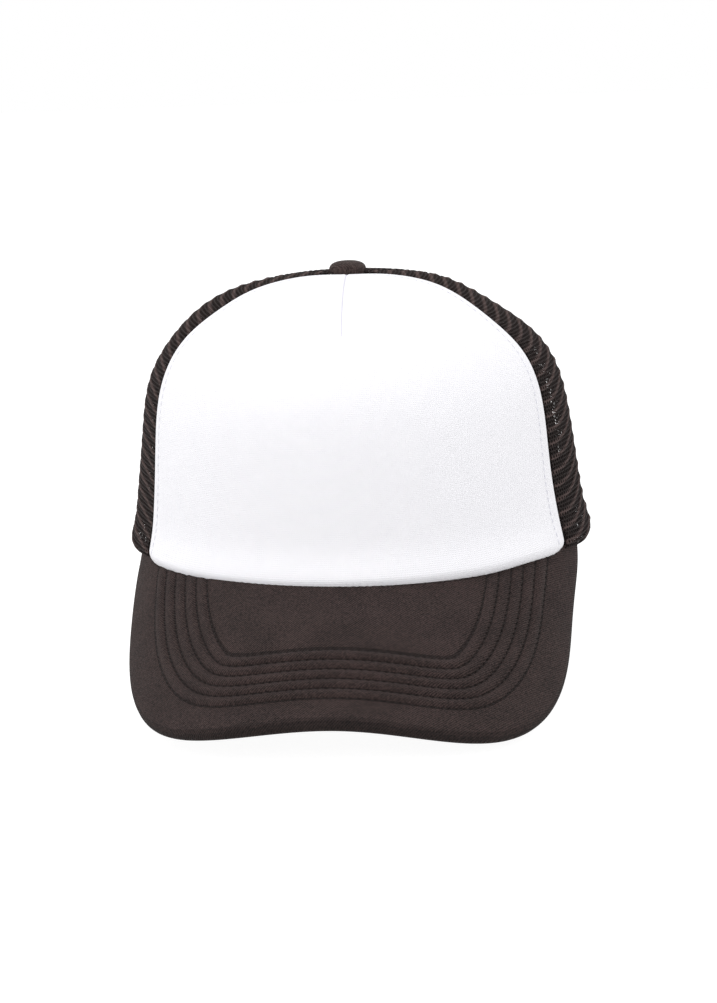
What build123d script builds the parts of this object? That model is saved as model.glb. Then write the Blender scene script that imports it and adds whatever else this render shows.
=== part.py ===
"""Trucker mesh cap: foam front, mesh back, stitched visor and a two-piece snap strap.

The frame is the cap's own. The origin is the centre of the head opening in the plane of
the hem. +Z runs up the head to the button, -Y points forward over the visor, and +X is
the wearer's left. All sizes are in millimetres and all angles in degrees.
"""
from build123d import *
import os
from math import cos, radians, sin, sqrt

# ---------------------------------------------------------------- driving dimensions
# Crown: half width and reach to the front and back at the hem, and height to the top.
HALF_WIDTH = 90.0
FRONT_REACH = 97.0
BACK_REACH = 97.0
CROWN_HEIGHT = 106.5
APEX_FORWARD = 16.0

# How each wall leans in towards the top (share of its reach), and how late it turns over.
SIDE_LEAN = 0.13
FRONT_LEAN = 0.04
BACK_LEAN = 0.07
SIDE_TURN = 5.0
FRONT_TURN = 6.5
BACK_TURN = 4.0
LEVEL_STEPS = [0, 1, 4, 10, 18, 27, 36, 45, 54, 63, 72, 80, 85.5]

# Seams, as directions from the button axis: 0 is the front, 180 the back.
FRONT_SEAM = 68.5
SIDE_SEAM = 126.0
BACK_SEAM = 180.0

# Layers of the crown, as depths below its outer surface.
CLOTH_THICKNESS = 0.6
FOAM_DEPTH = 3.0
MESH_THICKNESS = 0.9
TAPE_THICKNESS = 0.6
TAPE_WIDTH = 9.0
TAPE_START = 12.0
DART_LENGTH = 72.0
DART_GAP = 0.4

# Rear opening with its folded binding.
ARCH_HALF_WIDTH = 50.0
ARCH_SIDE_HEIGHT = 20.0
ARCH_HEIGHT = 58.0
BINDING_WIDTH = 6.0
BINDING_THICKNESS = 0.5

# Sweatband: a foam-backed strip that hangs just inside the hem.
BAND_HALF_WIDTH = 80.9
BAND_FRONT_REACH = 91.6
BAND_BACK_REACH = 89.2
BAND_BOTTOM = 1.0
BAND_TOP = 33.0
BAND_FOAM = 0.9
BAND_CLOTH = 0.7
BAND_END_ANGLE = 39.0

# Visor: an arched, drooping sandwich sewn under the front of the crown.
VISOR_HALF_WIDTH = 83.9
VISOR_LENGTH = 70.0
VISOR_DROOP = 32.0
VISOR_ROOT = 30.0
VISOR_POWER = 3.4
OUTLINE_TURNS = [0, 8, 24, 45, 66, 90]
VISOR_RISE = 0.8
COVER_THICKNESS = 0.5
VISOR_FOAM_THICKNESS = 1.2
BOARD_THICKNESS = 1.6
VISOR_LIP = 0.9
VISOR_TUCK = 3.9

# Button on top.
BUTTON_RADIUS = 7.1
BUTTON_HEIGHT = 3.7
BUTTON_RIM = 0.25
BUTTON_COVER = 0.6
BUTTON_WALL = 0.5
RIVET_RADIUS = 1.5
BUTTON_BACK_RADIUS = 6.4
BUTTON_BACK_THICKNESS = 0.8

# Snap strap: two plastic bands, bent about one upright axis behind the head's centre.
STRAP_AXIS_Y = 10.0
STRAP_BOTTOM = 3.0
STRAP_TOP = 22.0
PEG_STRAP_INNER = 79.6
PEG_STRAP_OUTER = 80.9
HOLE_STRAP_INNER = 81.1
HOLE_STRAP_OUTER = 82.3
SNAP_COUNT = 7
SNAP_PITCH = 6.7
SNAPS_ENGAGED = 4
PEG_RADIUS = 2.0
PEG_SINK = 0.3
HOLE_RADIUS = 2.2
RIM_RADIUS = 3.1
RIM_HEIGHT = 0.35
HINGE_ANGLE = 35.2
HINGE_GAP = 0.3
FIRST_HOLE_MARGIN = 5.7
STRAP_TIP_MARGIN = 4.3
TAB_END_ANGLE = 46.0
TAIL_END_ANGLE = -60.5
TIP_ROUNDING = 6.0

# Blank care label, sewn in behind the sweatband.
LABEL_WIDTH = 22.0
LABEL_HEIGHT = 30.0
LABEL_THICKNESS = 0.3
LABEL_DIRECTION = 100.0

# ---------------------------------------------------------------- worked-out sizes
REACH = 200.0
SNAP_HEIGHT = (STRAP_BOTTOM + STRAP_TOP) / 2
LAST_HOLE_ANGLE = HINGE_ANGLE - FIRST_HOLE_MARGIN
HOLE_ANGLES = [LAST_HOLE_ANGLE - SNAP_PITCH * step for step in range(SNAP_COUNT)]
FREE_HOLES = SNAP_COUNT - SNAPS_ENGAGED
PEG_ANGLES = [LAST_HOLE_ANGLE - SNAP_PITCH * (step + FREE_HOLES) for step in range(SNAP_COUNT)]
BUTTON_AXIS = (0, -APEX_FORWARD)
VISOR_STACK = 2 * COVER_THICKNESS + VISOR_FOAM_THICKNESS + BOARD_THICKNESS

os.makedirs("parts", exist_ok=True)


def save(piece, name):
    """Label a finished piece and write it as its own STEP file."""
    piece.label = name
    export_step(piece, f"parts/{name}.step")


# ---------------------------------------------------------------- crown surfaces
def wall(reach, lean, turn, level):
    """Reach of one wall at a level from 0 at the hem to 1 at the top."""
    return reach * (1 - lean * level) * sqrt(1 - level**turn)


def crown_block(inset):
    """Solid crown with its surface moved in by inset: a loft of level sections."""
    with BuildPart() as block:
        for step in LEVEL_STEPS:
            level = sin(radians(step)) ** (2 / SIDE_TURN)
            side = wall(HALF_WIDTH - inset, SIDE_LEAN, SIDE_TURN, level)
            front = wall(FRONT_REACH - inset, FRONT_LEAN, FRONT_TURN, level)
            back = wall(BACK_REACH - inset, BACK_LEAN, BACK_TURN, level)
            middle = (0, -APEX_FORWARD * level**2)
            with BuildSketch(Plane.XY.offset((CROWN_HEIGHT - inset) * level)):
                with BuildLine():
                    EllipticalCenterArc(middle, side, front, start_angle=180, arc_size=180)
                    EllipticalCenterArc(middle, side, back, start_angle=0, arc_size=180)
                make_face()
        loft()
    return block.part


def crown_layer(outer, inner):
    """Shell of the crown between two depths."""
    with BuildPart() as layer:
        add(outer)
        add(inner, mode=Mode.SUBTRACT)
    return layer.part


def toward(direction, distance):
    """Point at a distance from the button axis, in a direction where 0 is the front."""
    angle = radians(direction)
    return (distance * sin(angle), -APEX_FORWARD - distance * cos(angle))


def sector(start, end):
    """Upright wedge about the button axis between two directions."""
    with BuildPart() as wedge:
        with BuildSketch(Plane.XY.offset(-1)):
            with BuildLine():
                Polyline(
                    BUTTON_AXIS,
                    toward(start, REACH),
                    toward((start + end) / 2, 2 * REACH),
                    toward(end, REACH),
                    close=True,
                )
            make_face()
        extrude(amount=CROWN_HEIGHT + 2)
    return wedge.part


def seam_slab(direction, start, end, low_side, high_side):
    """Upright slab along a seam, between two distances from the button axis."""
    along = Plane((0, -APEX_FORWARD, -1), x_dir=(sin(radians(direction)), -cos(radians(direction)), 0))
    with BuildPart() as slab:
        with BuildSketch(along):
            with Locations(((start + end) / 2, (low_side + high_side) / 2)):
                Rectangle(end - start, high_side - low_side)
        extrude(amount=CROWN_HEIGHT + 2)
    return slab.part


def arch_prism(growth):
    """Prism through the back wall with the rear opening's outline, grown all round."""
    half_width = ARCH_HALF_WIDTH + growth
    with BuildPart() as prism:
        with BuildSketch(Plane.XZ.offset(-REACH)):
            with BuildLine():
                Line((-half_width, -growth - 1), (half_width, -growth - 1))
                Line((half_width, -growth - 1), (half_width, ARCH_SIDE_HEIGHT))
                EllipticalCenterArc(
                    (0, ARCH_SIDE_HEIGHT),
                    half_width,
                    ARCH_HEIGHT - ARCH_SIDE_HEIGHT + growth,
                    start_angle=0,
                    arc_size=180,
                )
                Line((-half_width, ARCH_SIDE_HEIGHT), (-half_width, -growth - 1))
            make_face()
        extrude(amount=REACH)
    return prism.part


def cut_piece(body, keep, removed=()):
    """Part of a body that lies inside one solid and outside others."""
    with BuildPart() as piece:
        add(body)
        add(keep, mode=Mode.INTERSECT)
        for solid in removed:
            add(solid, mode=Mode.SUBTRACT)
    return piece.part


def upright_cylinder(centre, radius, bottom, top):
    """Upright cylinder between two heights."""
    with BuildPart() as post:
        with BuildSketch(Plane.XY.offset(bottom)):
            with Locations(centre):
                Circle(radius)
        extrude(amount=top - bottom)
    return post.part


# ---------------------------------------------------------------- crown panels
outer_block = crown_block(0)
cloth_block = crown_block(CLOTH_THICKNESS)
foam_block = crown_block(FOAM_DEPTH)
mesh_block = crown_block(MESH_THICKNESS)
tape_block = crown_block(MESH_THICKNESS + TAPE_THICKNESS)

rivet_hole = upright_cylinder(BUTTON_AXIS, RIVET_RADIUS, 0, CROWN_HEIGHT + 1)
arch = arch_prism(0)
front_sector = sector(-FRONT_SEAM, FRONT_SEAM)
dart = seam_slab(0, 0, DART_LENGTH, -DART_GAP / 2, DART_GAP / 2)

cloth_layer = crown_layer(outer_block, cloth_block)
foam_layer = crown_layer(cloth_block, foam_block)
mesh_layer = crown_layer(outer_block, mesh_block)
tape_layer = crown_layer(mesh_block, tape_block)

save(cut_piece(cloth_layer, front_sector, [rivet_hole, dart]), "front_panel_cloth")
save(cut_piece(foam_layer, front_sector, [rivet_hole]), "front_panel_foam")

MESH_PANELS = {
    "side_mesh_left": (FRONT_SEAM, SIDE_SEAM),
    "back_mesh_left": (SIDE_SEAM, BACK_SEAM),
    "back_mesh_right": (BACK_SEAM, 2 * BACK_SEAM - SIDE_SEAM),
    "side_mesh_right": (2 * BACK_SEAM - SIDE_SEAM, 2 * BACK_SEAM - FRONT_SEAM),
}
for name, (start, end) in MESH_PANELS.items():
    save(cut_piece(mesh_layer, sector(start, end), [rivet_hole, arch]), name)


# ---------------------------------------------------------------- seam tapes
def seam_tape(direction, low_side, high_side):
    """Tape under one mesh seam, stopping short of the button and of the rear opening."""
    slab = seam_slab(direction, TAPE_START, REACH, low_side, high_side)
    return cut_piece(tape_layer, slab, [arch_prism(BINDING_WIDTH)])


save(seam_tape(FRONT_SEAM, 0, TAPE_WIDTH), "front_seam_tape_left")
save(seam_tape(-FRONT_SEAM, -TAPE_WIDTH, 0), "front_seam_tape_right")
save(seam_tape(SIDE_SEAM, -TAPE_WIDTH / 2, TAPE_WIDTH / 2), "side_seam_tape_left")
save(seam_tape(-SIDE_SEAM, -TAPE_WIDTH / 2, TAPE_WIDTH / 2), "side_seam_tape_right")
save(seam_tape(BACK_SEAM, -TAPE_WIDTH / 2, TAPE_WIDTH / 2), "back_seam_tape")

dart_tape_layer = crown_layer(foam_block, crown_block(FOAM_DEPTH + TAPE_THICKNESS))
dart_slab = seam_slab(0, TAPE_START, DART_LENGTH + TAPE_WIDTH / 2, -TAPE_WIDTH / 2, TAPE_WIDTH / 2)
dart_top = upright_cylinder(BUTTON_AXIS, 2 * DART_LENGTH, CROWN_HEIGHT / 2, CROWN_HEIGHT)
dart_tape_strip = cut_piece(dart_tape_layer, dart_slab)
save(cut_piece(dart_tape_strip, dart_top), "dart_tape")


# ---------------------------------------------------------------- rear opening binding
def folded_binding():
    """Tape folded over the raw edge of the rear opening, inside and outside the mesh."""
    outside = crown_block(-BINDING_THICKNESS)
    inside = crown_block(MESH_THICKNESS + BINDING_THICKNESS)
    wrap = crown_layer(outside, inside)
    frame_band = crown_layer(arch_prism(BINDING_WIDTH), arch_prism(-BINDING_THICKNESS))
    mesh_edge = crown_layer(mesh_layer, arch)
    return cut_piece(wrap, frame_band, [mesh_edge])


save(folded_binding(), "arch_binding")


# ---------------------------------------------------------------- sweatband
def band_block(inset):
    """Solid inside one surface of the sweatband."""
    with BuildPart() as block:
        with BuildSketch(Plane.XY.offset(BAND_BOTTOM)):
            with BuildLine():
                EllipticalCenterArc(
                    (0, 0),
                    BAND_HALF_WIDTH - inset,
                    BAND_FRONT_REACH - inset,
                    start_angle=180,
                    arc_size=180,
                )
                EllipticalCenterArc(
                    (0, 0),
                    BAND_HALF_WIDTH - inset,
                    BAND_BACK_REACH - inset,
                    start_angle=0,
                    arc_size=180,
                )
            make_face()
        extrude(amount=BAND_TOP - BAND_BOTTOM)
    return block.part


def strap_point(angle, radius):
    """Point on the strap's arc, where angle 0 is straight back and +X is positive."""
    return (radius * sin(radians(angle)), STRAP_AXIS_Y + radius * cos(radians(angle)))


def strap_wedge(start, end):
    """Upright wedge about the strap's axis between two angles of its arc."""
    with BuildPart() as wedge:
        with BuildSketch(Plane.XY.offset(-1)):
            with BuildLine():
                Polyline(
                    (0, STRAP_AXIS_Y),
                    strap_point(start, REACH),
                    strap_point((start + end) / 2, 2 * REACH),
                    strap_point(end, REACH),
                    close=True,
                )
            make_face()
        extrude(amount=CROWN_HEIGHT)
    return wedge.part


rear_gap = strap_wedge(-BAND_END_ANGLE, BAND_END_ANGLE)
band_foam_inner = band_block(BAND_FOAM)
with BuildPart() as sweatband_foam:
    add(band_block(0))
    add(band_foam_inner, mode=Mode.SUBTRACT)
    add(rear_gap, mode=Mode.SUBTRACT)
save(sweatband_foam.part, "sweatband_foam")

with BuildPart() as sweatband_cloth:
    add(band_foam_inner)
    add(band_block(BAND_FOAM + BAND_CLOTH), mode=Mode.SUBTRACT)
    add(rear_gap, mode=Mode.SUBTRACT)
save(sweatband_cloth.part, "sweatband_cloth")

# The label hangs from the top of the sweatband's cloth, on the side of the head.
label_middle = (BAND_TOP + BAND_BOTTOM) / 2
label_outer = band_block(BAND_FOAM + BAND_CLOTH)
label_inner = band_block(BAND_FOAM + BAND_CLOTH + LABEL_THICKNESS)
label_slab = seam_slab(LABEL_DIRECTION, 0, REACH, -LABEL_WIDTH / 2, LABEL_WIDTH / 2)
with BuildPart() as label_height:
    with BuildSketch(Plane.XY.offset(label_middle - LABEL_HEIGHT / 2)):
        Rectangle(2 * REACH, 2 * REACH)
    extrude(amount=LABEL_HEIGHT)
label_strip = cut_piece(crown_layer(label_outer, label_inner), label_slab)
save(cut_piece(label_strip, label_height.part), "care_label")


# ---------------------------------------------------------------- button
def button_dome(inset):
    """Low dome on the crown's top, with its surface moved in by inset."""
    radius = BUTTON_RADIUS - inset
    height = BUTTON_HEIGHT - inset
    with BuildPart() as dome:
        with BuildSketch(Plane.XZ):
            with BuildLine():
                Line((0, 0), (radius, 0))
                Line((radius, 0), (radius, height * BUTTON_RIM))
                Spline([(radius, height * BUTTON_RIM), (0, height)], tangents=[(0, 1), (-1, 0)])
                Line((0, height), (0, 0))
            make_face()
        revolve(axis=Axis.Z)
    return dome.part.moved(Location((0, -APEX_FORWARD, CROWN_HEIGHT)))


save(crown_layer(button_dome(0), button_dome(BUTTON_COVER)), "button_cover")
save(crown_layer(button_dome(BUTTON_COVER), button_dome(BUTTON_COVER + BUTTON_WALL)), "button_shell")

back_top = CROWN_HEIGHT - FOAM_DEPTH - TAPE_THICKNESS
with BuildPart() as button_back:
    with BuildSketch(Plane.XY.offset(back_top - BUTTON_BACK_THICKNESS)):
        with Locations(BUTTON_AXIS):
            Circle(BUTTON_BACK_RADIUS)
    extrude(amount=BUTTON_BACK_THICKNESS)
    with BuildSketch(Plane.XY.offset(back_top)):
        with Locations(BUTTON_AXIS):
            Circle(RIVET_RADIUS)
    extrude(amount=CROWN_HEIGHT + BUTTON_HEIGHT - BUTTON_COVER - BUTTON_WALL - back_top)
    chamfer(button_back.faces().sort_by(Axis.Z)[0].edges(), BUTTON_BACK_THICKNESS / 3)
save(button_back.part, "button_back")


# ---------------------------------------------------------------- visor
def visor_sheet(depth_top, depth_bottom):
    """Arched layer between two depths, running down the visor's slope.

    The arch is the ellipse that carries the slope exactly along the hem's own ellipse.
    """
    droop = radians(VISOR_DROOP)
    arch_height = FRONT_REACH * sin(droop)
    slope = (0, -cos(droop), -sin(droop))
    start = (0, -FRONT_REACH + REACH * cos(droop), VISOR_RISE + REACH * sin(droop))
    across = Plane(start, x_dir=(1, 0, 0), z_dir=slope)
    with BuildPart() as sheet:
        with BuildSketch(across):
            with Locations((0, -arch_height)):
                Ellipse(HALF_WIDTH - depth_top, arch_height - depth_top)
                Ellipse(HALF_WIDTH - depth_bottom, arch_height - depth_bottom, mode=Mode.SUBTRACT)
            with Locations((0, -arch_height / 2)):
                Rectangle(2 * (HALF_WIDTH + VISOR_TUCK), arch_height, mode=Mode.INTERSECT)
        extrude(amount=2 * REACH)
    return sheet.part


def visor_outline(growth):
    """Upright prism with the visor's plan outline, grown all round."""
    front = FRONT_REACH + VISOR_LENGTH * cos(radians(VISOR_DROOP)) + growth
    side = VISOR_HALF_WIDTH + growth
    points = []
    for turn in OUTLINE_TURNS:
        across = abs(cos(radians(turn))) ** (2 / VISOR_POWER)
        forward = sin(radians(turn)) ** (2 / VISOR_POWER)
        points.append((side * across, -VISOR_ROOT - (front - VISOR_ROOT) * forward))
    points += [(-across, back) for across, back in reversed(points[:-1])]
    with BuildPart() as prism:
        with BuildSketch(Plane.XY.offset(-REACH)):
            with BuildLine():
                Spline(points, tangents=[(0, -1), (0, 1)])
                Polyline(points[-1], (-side, 0), (side, 0), points[0])
            make_face()
        extrude(amount=2 * REACH)
    return prism.part


def ellipse_prism(inset, bottom, top):
    """Upright prism with the hem's outline, moved in by inset."""
    with BuildPart() as prism:
        with BuildSketch(Plane.XY.offset(bottom)):
            Ellipse(HALF_WIDTH - inset, FRONT_REACH - inset)
        extrude(amount=top - bottom)
    return prism.part


inside_hem = ellipse_prism(VISOR_TUCK, -REACH, REACH)
under_wall = ellipse_prism(0, 0, REACH)
behind_root = seam_slab(180, VISOR_ROOT - APEX_FORWARD - 2 * VISOR_ROOT, REACH, -REACH, REACH)


def visor_layer(depth_top, depth_bottom, growth):
    """One layer of the visor, outside the head opening and below the crown's wall."""
    return cut_piece(
        visor_sheet(depth_top, depth_bottom), visor_outline(growth), [inside_hem, under_wall]
    )


foam_top = COVER_THICKNESS
board_top = foam_top + VISOR_FOAM_THICKNESS
board_bottom = board_top + BOARD_THICKNESS
save(visor_layer(foam_top, board_top, 0), "visor_foam")
save(visor_layer(board_top, board_bottom, 0), "visor_board")
save(visor_layer(board_bottom, VISOR_STACK, 0), "visor_under_cover")

visor_inside = cut_piece(visor_sheet(foam_top, VISOR_STACK + 1), visor_outline(0))
save(
    cut_piece(visor_layer(0, VISOR_STACK, VISOR_LIP), visor_sheet(0, VISOR_STACK), [visor_inside]),
    "visor_top_cover",
)


# ---------------------------------------------------------------- snap strap
def strap_band(inner, outer, start, end):
    """Upright plastic band bent about the strap's axis between two angles."""
    with BuildPart() as band:
        with BuildSketch(Plane.XY.offset(STRAP_BOTTOM)):
            with Locations((0, STRAP_AXIS_Y)):
                Circle(outer)
                Circle(inner, mode=Mode.SUBTRACT)
        extrude(amount=STRAP_TOP - STRAP_BOTTOM)
        add(strap_wedge(start, end), mode=Mode.INTERSECT)
    return band.part


def radial_plane(angle, radius):
    """Plane at the strap's middle height, facing out from the strap's axis."""
    across, back = strap_point(angle, radius)
    return Plane((across, back, SNAP_HEIGHT), z_dir=(sin(radians(angle)), cos(radians(angle)), 0))


def snap_peg(angle):
    """Round-headed peg on the outer face of the peg strap."""
    across, back = strap_point(angle, PEG_STRAP_OUTER - PEG_SINK)
    with BuildPart() as peg:
        with Locations((across, back, SNAP_HEIGHT)):
            Sphere(PEG_RADIUS)
    return peg.part


def snap_bore(angle, radius):
    """Short cylinder through the hole strap's wall."""
    with BuildPart() as bore:
        with BuildSketch(radial_plane(angle, HOLE_STRAP_INNER - 1)):
            Circle(radius)
        extrude(amount=HOLE_STRAP_OUTER - HOLE_STRAP_INNER + 2)
    return bore.part


def hole_rim(angle):
    """Raised rim around one hole."""
    with BuildPart() as rim:
        with BuildSketch(radial_plane(angle, HOLE_STRAP_INNER + 0.2)):
            Circle(RIM_RADIUS)
        extrude(amount=HOLE_STRAP_OUTER + RIM_HEIGHT - HOLE_STRAP_INNER - 0.2)
    return rim.part


peg_tip = PEG_ANGLES[0] + STRAP_TIP_MARGIN
hole_tip = HOLE_ANGLES[-1] - STRAP_TIP_MARGIN
gap_angle = HINGE_GAP / radians(HOLE_STRAP_OUTER)

with BuildPart() as peg_strap:
    add(strap_band(PEG_STRAP_INNER, PEG_STRAP_OUTER, TAIL_END_ANGLE, peg_tip))
    upright = peg_strap.edges().filter_by(GeomType.LINE).filter_by(
        lambda edge: abs(edge.tangent_at(0).Z) < 0.1
    )
    fillet(upright.sort_by(Axis.X)[-2:], TIP_ROUNDING)
    for angle in PEG_ANGLES:
        add(snap_peg(angle))
    with BuildSketch(Plane.XY.offset(STRAP_BOTTOM)):
        with Locations((0, STRAP_AXIS_Y)):
            Circle(PEG_STRAP_INNER)
    extrude(amount=STRAP_TOP - STRAP_BOTTOM, mode=Mode.SUBTRACT)
save(peg_strap.part, "peg_strap")

with BuildPart() as hole_strap:
    add(strap_band(HOLE_STRAP_INNER, HOLE_STRAP_OUTER, hole_tip, HINGE_ANGLE - gap_angle / 2))
    flat_edges = hole_strap.edges().filter_by(GeomType.LINE).filter_by(
        lambda edge: abs(edge.tangent_at(0).Z) < 0.1
    )
    fillet(flat_edges.sort_by(Axis.X)[:2], TIP_ROUNDING)
    for angle in HOLE_ANGLES:
        add(hole_rim(angle))
    for angle in HOLE_ANGLES:
        add(snap_bore(angle, HOLE_RADIUS), mode=Mode.SUBTRACT)
save(hole_strap.part, "hole_strap")

save(
    strap_band(HOLE_STRAP_INNER, HOLE_STRAP_OUTER, HINGE_ANGLE + gap_angle / 2, TAB_END_ANGLE),
    "hole_strap_tab",
)

print("hinge at", [round(value, 2) for value in strap_point(HINGE_ANGLE, HOLE_STRAP_OUTER)])
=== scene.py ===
"""Looks of a trucker mesh cap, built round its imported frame.

Shapes are worked out in millimetres in the cap's own frame and stored in metres. The origin is
the centre of the head opening, +Z runs up to the button, -Y points forward over the visor and
+X is the wearer's left. A direction round the button axis is in degrees, with 0 at the front.
"""

from math import cos, degrees, pi, radians, sin

import bpy
import numpy as np
from mathutils import Matrix, Vector


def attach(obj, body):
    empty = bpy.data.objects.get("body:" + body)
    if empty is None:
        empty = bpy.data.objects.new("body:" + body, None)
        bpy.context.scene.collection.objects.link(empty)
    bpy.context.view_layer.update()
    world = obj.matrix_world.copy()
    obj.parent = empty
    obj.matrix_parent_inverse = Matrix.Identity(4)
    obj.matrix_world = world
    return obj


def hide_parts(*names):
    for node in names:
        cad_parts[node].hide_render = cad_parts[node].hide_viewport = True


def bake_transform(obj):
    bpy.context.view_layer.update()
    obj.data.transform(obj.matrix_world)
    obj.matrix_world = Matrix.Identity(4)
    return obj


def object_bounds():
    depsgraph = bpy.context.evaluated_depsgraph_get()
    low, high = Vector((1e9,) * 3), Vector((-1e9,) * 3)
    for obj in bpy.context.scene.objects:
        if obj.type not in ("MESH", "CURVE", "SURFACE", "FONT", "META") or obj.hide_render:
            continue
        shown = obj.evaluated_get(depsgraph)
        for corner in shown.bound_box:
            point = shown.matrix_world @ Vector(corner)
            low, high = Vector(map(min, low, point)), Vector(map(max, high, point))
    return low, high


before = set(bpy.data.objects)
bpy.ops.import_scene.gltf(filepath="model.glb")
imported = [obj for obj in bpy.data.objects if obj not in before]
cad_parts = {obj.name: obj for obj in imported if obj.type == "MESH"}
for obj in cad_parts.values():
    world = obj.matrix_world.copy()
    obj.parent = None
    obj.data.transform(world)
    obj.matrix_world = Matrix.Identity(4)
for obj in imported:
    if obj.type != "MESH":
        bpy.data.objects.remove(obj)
cad_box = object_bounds()

MM = 0.001

# ---- crown, as in the CAD source
HALF_WIDTH = 90.0
FRONT_REACH = 97.0
BACK_REACH = 97.0
CROWN_HEIGHT = 106.5
APEX_FORWARD = 16.0
SIDE_LEAN = 0.13
FRONT_LEAN = 0.04
BACK_LEAN = 0.07
SIDE_TURN = 5.0
FRONT_TURN = 6.5
BACK_TURN = 4.0
FRONT_SEAM = 68.5
SIDE_SEAM = 126.0
BACK_SEAM = 180.0
ARCH_HALF_WIDTH = 50.0
ARCH_SIDE_HEIGHT = 20.0
ARCH_HEIGHT = 58.0
TOP_LEVEL = 0.9998
NORMAL_TOP_LEVEL = 0.9999
LEVELS = 1 - (1 - np.linspace(0, 0.996, 260)) ** 2
NORMAL_STEP = 0.05
LEVEL_STEP = 0.0005

# ---- openwork net
NET_PITCH = 1.8
NET_ROW = 1.5
NET_HALF_SPAN = 58.0
NET_REACH = 190
CELL_SIDES = 6
NET_HOLE = 0.545
NET_SHOULDER = 0.78
YARN_HEIGHT = 0.23
SHOULDER_HEIGHT = 0.18
RIB_PITCH = 5.4
RIB_SLANT = 0.20
RIB_SWAY = 0.5
RIB_SWAY_PITCH = 38.0
RIB_HEIGHT = 0.52
RIB_UNEVEN = 0.25
RIB_UNEVEN_RUNS = (9.0, 13.0)
RIB_SEAM_PRESS = 0.8
RIB_SEAM_REACH = 3.5
NET_DEPTH = 0.60
NET_HEM_ROLL = 1.8
NET_TUCK = 4.5
NET_BULGE = 1.2
NET_BULGE_HEIGHT = 2.5
NET_BULGE_SPREAD = 6.5
SEAM_MARGIN = 0.25
BUTTON_CLEAR = 4.5
SEAM_NEAREST_AXIS = 4.0
CORNER_TURN = 30

# ---- front panel
PANEL_COLUMNS = 241
PANEL_ROWS = 110
PANEL_CROWDING = 0.85
PANEL_THICKNESS = 3.0
PANEL_EDGE_ROLL = 2.4
PANEL_PUFF = 0.7
PANEL_PUFF_REACH = 7.0
PANEL_HEM_ROLL = 3.6
PANEL_HEM_RISE = -1.6
PANEL_HEM_BULGE = 2.9
PANEL_BULGE_REACH = 9.0
PANEL_TUCK = 1.2
PANEL_HEM_ROWS = 26
PANEL_HEM_TOP = 9.0
PANEL_TOP_GAP = 0.5
HEM_RISE_REACH = 6.0
CORNER_LIFT = 3.5
CORNER_REACH = 4.5
PUCKER_PITCH = 3.1
PUCKER_DEPTH = 0.16
PUCKER_REACH = 3.5
PUCKER_DRIFT = 1.7
PUCKER_DRIFT_RUN = 11.0
PUCKER_SWELL = 0.4
PUCKER_SWELL_RUN = 7.3
TOPSTITCH_INSET = 7.0
TOPSTITCH_GROOVE = 0.22
TOPSTITCH_WIDTH = 0.5
TOPSTITCH_START = 3.0
TOPSTITCH_END = 9.0
BULGE_SEAM_REACH = 5.0
DART_LENGTH = 74.0
DART_DEPTH = 0.8
DART_GROOVE = 0.22
DART_NOTCH = 8.0
DART_WIDTH = 0.42
DART_SLANT = -0.027
DART_FADE = 1.2

# ---- visor
VISOR_HALF_WIDTH = 83.9
VISOR_LENGTH = 70.0
VISOR_DROOP = radians(32.0)
VISOR_ROOT = 30.0
VISOR_POWER = 3.4
VISOR_RISE = 0.8
VISOR_STACK = 3.8
VISOR_TWIST = -0.0227
TWIST_REACH = 60.0
VISOR_TUCK = 2.5
VISOR_COLUMNS = 401
SECTION_TURN = 84
SECTION_COUNT = 1201
ROUGH_COUNT = 4001
OUTLINE_COUNT = 1601
ROLL_ROWS = 15
ROLL_MIDDLE = 1.6
ROLL_PROUD = 0.55
ROLL_UNDER_INSETS = (4.0, 2.6)
ROLL_TOP_INSET = 2.2
EDGE_STEPS = 26
# Rows of the top cover given painted shade: the edge rows all along, more rows at the middle of the lip,
# then rows where the painted shade fades out.
SHADED_EDGE_ROWS = 12
SHADED_LIP_ROWS = 16
SHADE_FADE_ROWS = 3
SHADED_LIP_TAPER = 0.05
RIB_STEPS = 14
TOP_PATCH_ROWS = 26
UNDER_PATCH_ROWS = 20
HEM_SHADE_ROWS = 3
ROW_INSETS = [12.2, 16.9, 21.6, 26.3, 31.0, 35.7]
SIDE_INSET = 3.6
SIDE_INSET_START = 3.0
FLAT_EDGE = 1.5
EDGE_START = 2.8
RIB_PUFF = 1.2
RIB_ROUNDNESS = 0.8
PATCH_PUFF = 0.54
PATCH_REACH = 1.6
EDGE_PUFF = 0.60
EDGE_ROUNDNESS = 0.6
ROW_DIMPLE = 0.24
DIMPLE_WIDTH = 0.35
HEM_PRESS = 0.8
HEM_PRESS_REACH = 7.0
UNDER_GAP = 0.2
# The underside's outermost rows: inset from the outline, and depth past the visor's stack.
UNDER_LIP = ((1.4, -0.5), (1.9, 0.0), (2.6, 0.15))
UNDER_START = 3.2
UNDER_STEP = 0.6
BOARD_INSETS = (0.8, 5.0, 12.0, 20.0, 28.0, 38.0)
BOARD_DEPTH = 1.6
BOARD_THICKNESS = 1.5

# ---- bands, tapes and button
MESH_THICKNESS = 0.9
TAPE_WIDTH = 9.0
TAPE_START = 12.0
TAPE_THICKNESS = 0.5
TAPE_FOOT = 6.0
BACK_TAPE_FOOT = ARCH_HEIGHT + 5
TAPE_COLUMNS = 9
TAPE_ROWS = 90
DART_TAPE_ROWS = 60
NET_INNER_FACE = MESH_THICKNESS + 0.35
PANEL_INNER_FACE = PANEL_THICKNESS + 0.05
BINDING_THICKNESS = 0.5
BINDING_CORE = -0.35
BINDING_OUTSIDE = 0.55
BINDING_INSIDE = -1.25
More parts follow.
